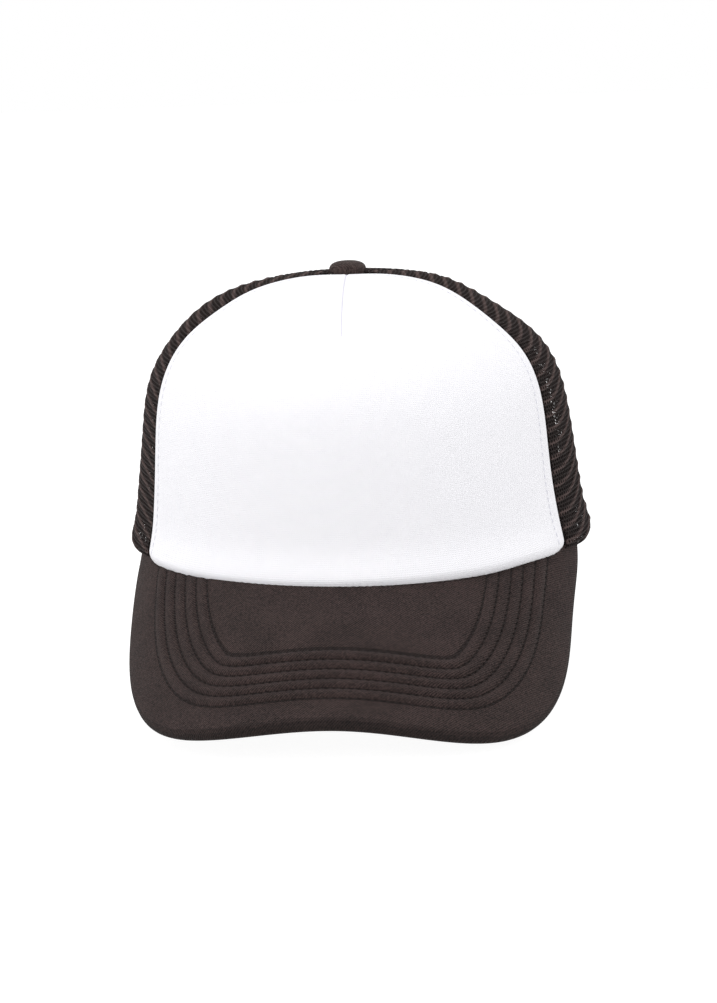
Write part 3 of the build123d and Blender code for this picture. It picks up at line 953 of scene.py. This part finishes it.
def dart_thread_line():
    """Seam thread down the front of the panel from the button."""
    line, distances = crown_column(0, 0)
    up = np.arange(distances[-1] - DART_LENGTH, distances[-1] - 1, LINE_STEP / 2)
    points = at(line, distances, up)
    points[:, 0] = -DART_SLANT * (distances[-1] - up)
    normals = crown_normal(direction_of(points), level_of(points))
    lift = panel_lift(points, up, distances[-1])[0]
    return points + normals * (lift + THREAD_PROUD)[:, None], normals


dart_thread = stitches("dart_thread", [dart_thread_line()], SEAM_THREAD, DART_STITCH)
set_piece(dart_thread)
topstitch_lines = [panel_stitch_line(1), panel_stitch_line(-1)]
topstitch = stitches("front_topstitch", topstitch_lines, PALE_THREAD, TOPSTITCH)
set_piece(topstitch)


# ---- seam tapes and seam threads
def tape(name, node, seam, middle, depth, bottom, rows=TAPE_ROWS, bends=True):
    """Woven tape inside the crown, its middle line aside from a seam.

    A bottom below 0 is measured down from the top of the crown.
    """
    outer, inner, flat = [], [], []
    for side in np.linspace(middle - TAPE_WIDTH / 2, middle + TAPE_WIDTH / 2, TAPE_COLUMNS):
        line, distances = crown_column(seam, side)
        top = distances[-1]
        up = np.linspace(bottom if bottom > 0 else top + bottom, top - TAPE_START, rows)
        points, normals = on_column(line, distances, up)
        outer.append(points - normals * depth)
        inner.append(points - normals * (depth + TAPE_THICKNESS))
        flat.append(np.stack([np.full(len(up), side), up], axis=1))
    piece = shell(name, outer, inner, TAPE_WEAVE, flat)
    set_piece(piece, [node], bends=bends)


MESH_TAPES = [
    ("tape_front_left", "front_seam_tape_left", FRONT_SEAM, TAPE_WIDTH / 2, TAPE_FOOT),
    ("tape_front_right", "front_seam_tape_right", -FRONT_SEAM, -TAPE_WIDTH / 2, TAPE_FOOT),
    ("tape_side_left", "side_seam_tape_left", SIDE_SEAM, 0, TAPE_FOOT),
    ("tape_side_right", "side_seam_tape_right", -SIDE_SEAM, 0, TAPE_FOOT),
    ("tape_back", "back_seam_tape", BACK_SEAM, 0, BACK_TAPE_FOOT),
]
for name, node, seam, middle, bottom in MESH_TAPES:
    tape(name, node, seam, middle, NET_INNER_FACE, bottom)
dart_foot = -DART_LENGTH - TAPE_WIDTH / 2
tape("tape_dart", "dart_tape", 0, 0, PANEL_INNER_FACE, dart_foot, DART_TAPE_ROWS, bends=False)


def seam_thread_lines():
    """Thread lines each side of the mesh seams, on the outside."""
    lines = []
    starts = {SIDE_SEAM: SEAM_STITCH_FOOT, -SIDE_SEAM: SEAM_STITCH_FOOT, BACK_SEAM: BACK_STITCH_FOOT}
    for seam, bottom in starts.items():
        for side in (-SEAM_STITCH_ASIDE, SEAM_STITCH_ASIDE):
            line, distances = crown_column(seam, side)
            up = np.arange(bottom, distances[-1] - SEAM_STITCH_TOP, LINE_STEP)
            points, normals = on_column(line, distances, up)
            lift = net_bulge(up) - NET_DEPTH + YARN_HEIGHT + SEAM_STITCH_PROUD
            lines.append((points + normals * lift[:, None], normals))
    return lines


seam_threads = stitches("seam_threads", seam_thread_lines(), BROWN_THREAD, SEAM_STITCH)
set_piece(seam_threads, bends=True)


# ---- rear opening binding
def arch_line(growth):
    """Line round the rear opening, grown all round, on the crown's back wall."""
    half_width = ARCH_HALF_WIDTH + growth
    up_side = np.linspace(ARCH_FOOT, ARCH_SIDE_HEIGHT, ARCH_SIDE_POINTS)
    turn = np.linspace(0, pi, ARCH_TURN_POINTS)[1:-1]
    left = np.full(ARCH_SIDE_POINTS, half_width)
    x = np.concatenate([left, half_width * np.cos(turn), -left])
    rise = ARCH_HEIGHT - ARCH_SIDE_HEIGHT + growth
    z = np.concatenate([up_side, ARCH_SIDE_HEIGHT + rise * np.sin(turn), up_side[::-1]])
    level = z / CROWN_HEIGHT
    side = wall(HALF_WIDTH, SIDE_LEAN, SIDE_TURN, level)
    back = wall(BACK_REACH, BACK_LEAN, BACK_TURN, level)
    y = -APEX_FORWARD * level**2 + back * np.sqrt(1 - (x / side) ** 2)
    points = np.stack([x, y, z], axis=1)
    return points, crown_normal(direction_of(points), level)


def binding_profile():
    """Section of the folded tape, as growths of the opening and heights over the crown.

    It runs in over the outside, round the raw edge and back out over the inside.
    """
    outside = [(growth, BINDING_OUTSIDE + 0.12 * sin(growth * 1.4)) for growth in BINDING_GROWTHS]
    inside = [(growth, BINDING_INSIDE - 0.1 * sin(growth)) for growth in reversed(BINDING_GROWTHS)]
    return [*outside, *BINDING_FOLD, *inside]


def binding():
    """Tape folded over the raw edge of the rear opening."""
    outer, inner, flat = [], [], []
    for number, (growth, lift) in enumerate(binding_profile()):
        points, normals = arch_line(growth)
        outer.append(points + normals * lift)
        flat.append(np.stack([np.full(len(points), number * BINDING_STEP), along(points)], axis=1))
        points, normals = arch_line(max(growth, 0.0))
        core = BINDING_CORE if growth < 0 else lift - BINDING_THICKNESS * np.sign(lift)
        inner.append(points + normals * core)
    return shell("arch_binding_tape", outer, inner, TAPE_WEAVE, flat)


bound = binding()
set_piece(bound, ["arch_binding"], bends=True)


def binding_thread_line():
    """Thread line along the binding, on the outside."""
    points, normals = arch_line(BINDING_SEWN)
    return points + normals * BINDING_STITCH_LIFT, normals


binding_thread = stitches("binding_stitches", [binding_thread_line()], BROWN_THREAD, SEAM_STITCH)
set_piece(binding_thread, bends=True)


# ---- sweatband and label
def crown_sheet(directions, heights):
    """Grids of direction and height, with the crown's points and normals there."""
    direction, height = np.meshgrid(directions, heights)
    level = height / CROWN_HEIGHT
    return direction, height, crown_point(direction, level), crown_normal(direction, level)


def band_sway(run, height):
    """Slow sideways sway of the sweatband, most at its free edge."""
    return BAND_SWAY * np.sin(run / BAND_SWAY_RUN) * (height / BAND_TOP)


def band_strip(name, depth, thickness, material):
    """Strip that hangs inside the crown from end to end of the rear opening."""
    directions = np.linspace(-BAND_END, BAND_END, BAND_COLUMNS)
    heights = np.linspace(BAND_BOTTOM, BAND_TOP, BAND_ROWS)
    direction, height, points, normals = crown_sheet(directions, heights)
    run = np.radians(direction) * HALF_WIDTH
    below = BAND_TOP - height
    ruffle = BAND_RUFFLE * np.exp(-below / BAND_RUFFLE_REACH) * np.sin(run / BAND_RUFFLE_RUN)
    near_edge = np.exp(-(height - BAND_BOTTOM) / BAND_EDGE_REACH) + np.exp(-below / BAND_EDGE_REACH)
    inset = (depth + ruffle + band_sway(run, height) + BAND_EDGE_DIP * near_edge)[..., None]
    outer = points - normals * inset
    inner = points - normals * (inset + thickness - BAND_EDGE_THINNING * near_edge[..., None])
    return shell(name, outer, inner, material, np.stack([run, height], axis=-1))


band_foam = band_strip("sweatband_padding", BAND_DEPTH, BAND_FOAM, DARK_FOAM)
set_piece(band_foam, ["sweatband_foam"], bends=True)
band_cloth = band_strip("sweatband_face", BAND_DEPTH + BAND_FOAM, BAND_CLOTH, BAND_KNIT)
set_piece(band_cloth, ["sweatband_cloth"], bends=True)


def band_thread_lines():
    """Thread lines near the top and bottom edges of the sweatband, on its inner face."""
    lines = []
    for height in (BAND_BOTTOM + BAND_SEWN, BAND_TOP - BAND_SEWN):
        direction = np.linspace(-BAND_END + 1, BAND_END - 1, BAND_LINE_POINTS)
        level = np.full(len(direction), height / CROWN_HEIGHT)
        normals = crown_normal(direction, level)
        run = np.radians(direction) * HALF_WIDTH
        depth = BAND_FACE + band_sway(run, height)
        lines.append((crown_point(direction, level) - normals * depth[:, None], -normals))
    return lines


band_threads = stitches("sweatband_stitches", band_thread_lines(), BROWN_THREAD, BAND_STITCH)
set_piece(band_threads, bends=True)


def care_label():
    """Blank satin label, held at its top edge."""
    half = degrees(LABEL_WIDTH / 2 / HALF_WIDTH)
    directions = np.linspace(LABEL_DIRECTION - half, LABEL_DIRECTION + half, LABEL_CELLS)
    middle = (BAND_TOP + BAND_BOTTOM) / 2
    heights = np.linspace(middle - LABEL_HEIGHT / 2, middle + LABEL_HEIGHT / 2, LABEL_CELLS)
    direction, height, points, normals = crown_sheet(directions, heights)
    hang = (heights[-1] - height) / LABEL_HEIGHT
    across = (direction - LABEL_DIRECTION) / half
    stand_off = LABEL_GAP + hang * (0.9 + 0.5 * np.cos(2.2 * across)) + 0.5 * hang**3 * across**2
    inset = (BAND_FACE + stand_off)[..., None]
    flat = np.stack([across * LABEL_WIDTH / 2, height], axis=-1)
    outer = points - normals * inset
    inner = points - normals * (inset + LABEL_THICKNESS)
    return shell("care_label_blank", outer, inner, LABEL_SATIN, flat)


label = care_label()
set_piece(label, ["care_label"])


# ---- button
def button():
    """Cloth-covered dome, gathered under its rim."""
    turns = np.linspace(0, 2 * pi, BUTTON_COLUMNS)
    climb = np.linspace(-BUTTON_UNDER, pi / 2, BUTTON_ROWS)
    turn, rise = np.meshgrid(turns, climb)
    dome = np.maximum(rise, 0)
    under = np.maximum(-rise, 0) / BUTTON_UNDER
    radius = BUTTON_RADIUS * np.cos(dome) ** 0.72 - BUTTON_TUCK * under**2
    height = BUTTON_HEIGHT * (BUTTON_RIM + (1 - BUTTON_RIM) * np.sin(dome) ** 0.9)
    height = np.where(rise < 0, BUTTON_HEIGHT * BUTTON_RIM * (1 - under) - BUTTON_SINK * under, height)
    gather = BUTTON_GATHER * np.exp(-dome * 4) * np.cos(BUTTON_PLEATS * turn)
    notch = BUTTON_NOTCH * hump(turn - pi, NOTCH_WIDTH) * np.exp(-dome * 7)
    radius = radius + gather + notch
    x = radius * np.sin(turn)
    y = -APEX_FORWARD + radius * np.cos(turn)
    points = np.stack([x, y, CROWN_HEIGHT + height], axis=-1)
    return grid("button_cloth", points, BUTTON_TWILL, np.stack([x, y], axis=-1))


button_cloth = button()
set_piece(button_cloth, ["button_cover"])


# ---- visor surface
SECTION_RISE = FRONT_REACH * sin(VISOR_DROOP)
SECTION_TURNS = np.radians(np.linspace(-SECTION_TURN, SECTION_TURN, SECTION_COUNT))
SECTION_X = HALF_WIDTH * np.sin(SECTION_TURNS)
section_run = along(np.stack([SECTION_X, SECTION_RISE * np.cos(SECTION_TURNS)], axis=1))
SECTION_ARC = section_run - section_run[SECTION_COUNT // 2]


def hem_setback(x):
    """How far back of the front centre the hem lies, along the visor's slope."""
    return FRONT_REACH * (1 - np.sqrt(1 - (x / HALF_WIDTH) ** 2)) * cos(VISOR_DROOP)


def past_hem(flat):
    """How far flat positions lie past the hem, along the visor's slope."""
    return flat[..., 1] + hem_setback(np.interp(flat[..., 0], SECTION_ARC, SECTION_X))


def visor_flat(x, y):
    """Flat position on the unrolled visor of a point given in plan."""
    hem = -FRONT_REACH * np.sqrt(1 - (x / HALF_WIDTH) ** 2)
    forward = (hem - y) / cos(VISOR_DROOP) - hem_setback(x)
    return np.stack([np.interp(x, SECTION_X, SECTION_ARC), forward], axis=-1)


def visor_point(flat, depth):
    """Point at a depth under the visor's top, from its flat position."""
    x = np.interp(flat[..., 0], SECTION_ARC, SECTION_X)
    share = np.sqrt(1 - (x / HALF_WIDTH) ** 2)
    slope = past_hem(flat)
    y = -FRONT_REACH * share - slope * cos(VISOR_DROOP)
    z = VISOR_RISE - slope * sin(VISOR_DROOP)
    side = x / HALF_WIDTH**2
    up = share / SECTION_RISE
    size = np.hypot(side, up)
    normal = np.stack([side / size, -up / size * sin(VISOR_DROOP), up / size * cos(VISOR_DROOP)], axis=-1)
    z = z + VISOR_TWIST * x * np.clip((-y - VISOR_ROOT) / TWIST_REACH, 0, 1.5)
    return np.stack([x, y, z], axis=-1) - normal * depth[..., None], normal


def visor_outline():
    """Outline of the unrolled visor: its points and the outward directions there."""
    turn = np.linspace(0, pi, ROUGH_COUNT)
    front = FRONT_REACH + VISOR_LENGTH * cos(VISOR_DROOP)
    x = VISOR_HALF_WIDTH * np.sign(np.cos(turn)) * np.abs(np.cos(turn)) ** (2 / VISOR_POWER)
    y = -VISOR_ROOT - (front - VISOR_ROOT) * np.abs(np.sin(turn)) ** (2 / VISOR_POWER)
    rough = visor_flat(x, y)
    distances = along(rough)
    line = at(rough, distances, np.linspace(0, distances[-1], OUTLINE_COUNT))
    step = unit(np.gradient(line, axis=0))
    return line, np.stack([step[:, 1], -step[:, 0]], axis=1)


OUTLINE, OUTWARD = visor_outline()


def visor_row(inset):
    """Line at an inset from the outline, from hem to hem, as flat positions."""
    share = np.clip((inset - SIDE_INSET_START) / (ROW_INSETS[0] - SIDE_INSET_START), 0, 1)
    line = OUTLINE - OUTWARD * (inset + SIDE_INSET * share * OUTWARD[:, :1] ** 2)
    forward = np.flatnonzero(past_hem(line) > -VISOR_TUCK)
    part = line[forward[0]:forward[-1] + 1]
    distances = along(part)
    return at(part, distances, np.linspace(0, distances[-1], VISOR_COLUMNS))


def hem_row(first, last):
    """Line along the hem between two flat positions."""
    across = np.linspace(first[0], last[0], VISOR_COLUMNS)
    x = np.interp(across, SECTION_ARC, SECTION_X)
    return np.stack([across, -VISOR_TUCK - hem_setback(x)], axis=1)


def padded_height(inset, phase):
    """Height of the quilted cover: full between stitch rows, dimpled at the stitches."""
    first = ROW_INSETS[0]
    if inset < first:
        return EDGE_PUFF * sin(pi * inset / first) ** EDGE_ROUNDNESS
    between = abs(sin(pi * (inset - first) / (ROW_INSETS[1] - first)))
    return RIB_PUFF * between**RIB_ROUNDNESS - ROW_DIMPLE * hump(between, DIMPLE_WIDTH) * np.cos(phase)


def visor_cover(name, insets, depths, facing, patch_rows):
    """Cover built from rows at insets from the outline, then a patch back to the hem."""
    points, flats = [], []
    for inset, depth in zip(insets, depths):
        flat = visor_row(inset)
        phase = 2 * pi * along(flat) / STITCH_PITCH
        pressed = 1 - HEM_PRESS * hump(np.maximum(past_hem(flat), 0), HEM_PRESS_REACH)
        puff = padded_height(inset, phase) if inset > FLAT_EDGE else 0.0
        points.append(visor_point(flat, depth - facing * puff * pressed)[0])
        flats.append(flat)
    last = flats[-1]
    hem = hem_row(last[0], last[-1])
    for share in np.linspace(0, 1, patch_rows + 1)[1:]:
        flat = last + (hem - last) * share
        gap = np.linalg.norm(flat - last, axis=1)
        puff = PATCH_PUFF * (1 - np.exp(-gap / PATCH_REACH))
        points.append(visor_point(flat, depths[-1] - facing * puff)[0])
        flats.append(flat)
    return grid(name, np.array(points), VISOR_TWILL, np.array(flats))


def edge_profile():
    """Insets and depths of the cloth from under the visor's edge onto its top."""
    turn = np.linspace(pi, 0, ROLL_ROWS)
    half = VISOR_STACK / 2
    insets = ROLL_MIDDLE - (half + ROLL_PROUD) * np.sin(turn)
    depths = half - half * np.cos(turn)
    insets = np.concatenate([ROLL_UNDER_INSETS, insets, [ROLL_TOP_INSET]])
    return insets, np.concatenate([[VISOR_STACK] * len(ROLL_UNDER_INSETS), depths, [0.0]])


def shade_cover(cover, first_row, last_row):
    """Painted shade: darker cloth on the rolled lip, fading in above it, in the sewn grooves and in the
    strip under the crown's hem.
    """
    cover.data.materials.append(PAINTED_SHADE_TWILL)
    cover.data.materials.append(PAINTED_HALF_SHADE_TWILL)
    painted_shade_rows = set(range(last_row - HEM_SHADE_ROWS, last_row))
    for number in range(len(ROW_INSETS)):
        groove = first_row + number * RIB_STEPS
        painted_shade_rows |= {groove - 1, groove}
    for face in cover.data.polygons:
        row, column = divmod(face.index, VISOR_COLUMNS - 1)
        lip = max(SHADED_EDGE_ROWS, SHADED_LIP_ROWS - SHADED_LIP_TAPER * abs(column - VISOR_COLUMNS / 2))
        if row in painted_shade_rows or row < lip:
            face.material_index = 1
        elif row < lip + SHADE_FADE_ROWS:
            face.material_index = 2


roll_insets, roll_depths = edge_profile()
edge_insets = np.linspace(EDGE_START, ROW_INSETS[0], EDGE_STEPS)
rib_insets = np.linspace(ROW_INSETS[0], ROW_INSETS[-1], (len(ROW_INSETS) - 1) * RIB_STEPS + 1)[1:]
top_insets = np.concatenate([roll_insets, edge_insets, rib_insets])
top_depths = np.concatenate([roll_depths, np.zeros(len(top_insets) - len(roll_insets))])
visor_top = visor_cover("visor_top_cloth", top_insets, top_depths, 1, TOP_PATCH_ROWS)
set_piece(visor_top, ["visor_top_cover", "visor_foam"])
shade_cover(visor_top, len(roll_insets) + len(edge_insets) - 1, len(top_insets) + TOP_PATCH_ROWS - 1)

lip_insets, lip_depths = np.transpose(UNDER_LIP)
flat_insets = np.arange(UNDER_START, ROW_INSETS[-1], UNDER_STEP)
under_insets = np.concatenate([lip_insets, flat_insets])
under_depths = VISOR_STACK + np.concatenate([lip_depths, np.full(len(flat_insets), UNDER_GAP)])
visor_under = visor_cover("visor_under_cloth", under_insets, under_depths, -1, UNDER_PATCH_ROWS)
set_piece(visor_under, ["visor_under_cover"])


def visor_board():
    """Moulded board between the two covers."""
    rows = [visor_row(inset) for inset in BOARD_INSETS]
    hem = hem_row(rows[-1][0], rows[-1][-1])
    rows += [rows[-1] + (hem - rows[-1]) * share for share in (0.25, 0.5, 0.75, 1.0)]
    flat = np.array(rows)
    top, normals = visor_point(flat, np.full(flat.shape[:2], BOARD_DEPTH))
    return shell("visor_board_core", top, top - normals * BOARD_THICKNESS, BOARD, flat)


board = visor_board()
set_piece(board, ["visor_board"])


def visor_stitches(name, depth, facing):
    """The sewn rows of the visor on one face."""
    lines = []
    for inset in ROW_INSETS:
        flat = visor_row(inset)
        points, normals = visor_point(flat, np.full(len(flat), depth))
        lines.append((points, normals * facing))
    set_piece(stitches(name, lines, BROWN_THREAD, VISOR_STITCH))


visor_stitches("visor_top_stitches", -THREAD_PROUD, 1)
visor_stitches("visor_under_stitches", VISOR_STACK + UNDER_GAP + THREAD_PROUD, -1)


# ---- carried-over CAD nodes
CAD_FINISHES = {
    "hole_strap": PLASTIC,
    "peg_strap": PLASTIC,
    "hole_strap_tab": PLASTIC,
    "button_shell": METAL,
    "button_back": METAL,
}
for name, material in CAD_FINISHES.items():
    for material_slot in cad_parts[name].material_slots:
        material_slot.material = material


# ---- studio
FLOOR_HALF = 4000.0
FLOOR_GAP = 1.5
FLOOR_GLOW = 0.92
LIGHT_TARGET = Vector((0, -0.02, 0.03))


def studio_floor():
    """Plain pale floor just under the lowest point of the visor."""
    material, shader = new_material("studio_floor", (0.25, 0.25, 0.25), 0.9)
    tint(shader, noise(material, 300.0), (0.24, 0.24, 0.24), (0.26, 0.26, 0.26))
    set_inputs(shader, {"Emission Color": (1, 1, 1, 1), "Emission Strength": FLOOR_GLOW})
    ticks = np.linspace(-FLOOR_HALF, FLOOR_HALF, 9)
    x, y = np.meshgrid(ticks, ticks)
    low = cad_box[0].z / MM - FLOOR_GAP
    points = np.stack([x, y, np.full_like(x, low)], axis=-1)
    grid("studio_floor", points, material, points[..., :2])


def soft_light(name, place, size, power):
    """Large square lamp that faces the cap."""
    lamp = bpy.data.lights.new(name, "AREA")
    lamp.energy = power
    lamp.size = size
    holder = bpy.data.objects.new(name, lamp)
    holder.location = place
    aim = LIGHT_TARGET - Vector(place)
    holder.rotation_euler = aim.to_track_quat("-Z", "Y").to_euler()
    bpy.context.collection.objects.link(holder)


def studio_world():
    """Even white surround."""
    world = bpy.data.worlds.new("studio")
    world.use_nodes = True
    background = world.node_tree.nodes["Background"]
    background.inputs["Color"].default_value = (1, 1, 1, 1)
    bpy.context.scene.world = world
    bpy.context.scene.view_settings.view_transform = "Standard"


studio_floor()
studio_world()
soft_light("key_light", place=(-0.3, -0.45, 1.6), size=0.45, power=14)
soft_light("fill_light", place=(0.3, -1.3, 0.35), size=0.8, power=2.2)


# ---- camera
CAMERA_DISTANCE = 1.15
CAMERA_YAW = radians(4.1)
CAMERA_RISE = radians(9.16)
CAMERA_ROLL = radians(-2.16)
LENS_LENGTH = 104.2
SENSOR_WIDTH = 36.0
SHIFT_ACROSS = 0.0027
SHIFT_UP = -0.094
LOOK_AT = Vector((0, 0, 0.05))


def photo_camera():
    """Camera low in front of the cap and a little to the wearer's left."""
    lens = bpy.data.cameras.new("front_camera")
    lens.lens = LENS_LENGTH
    lens.sensor_width = SENSOR_WIDTH
    lens.shift_x = SHIFT_ACROSS
    lens.shift_y = SHIFT_UP
    lens.clip_start = 0.01
    level = cos(CAMERA_RISE)
    back = Vector((sin(CAMERA_YAW) * level, -cos(CAMERA_YAW) * level, sin(CAMERA_RISE)))
    camera = bpy.data.objects.new("front_camera", lens)
    camera.location = LOOK_AT + back * CAMERA_DISTANCE
    turn = (-back).to_track_quat("-Z", "Y").to_matrix() @ Matrix.Rotation(CAMERA_ROLL, 3, "Z")
    camera.rotation_euler = turn.to_euler()
    bpy.context.collection.objects.link(camera)
    bpy.context.scene.camera = camera


photo_camera()
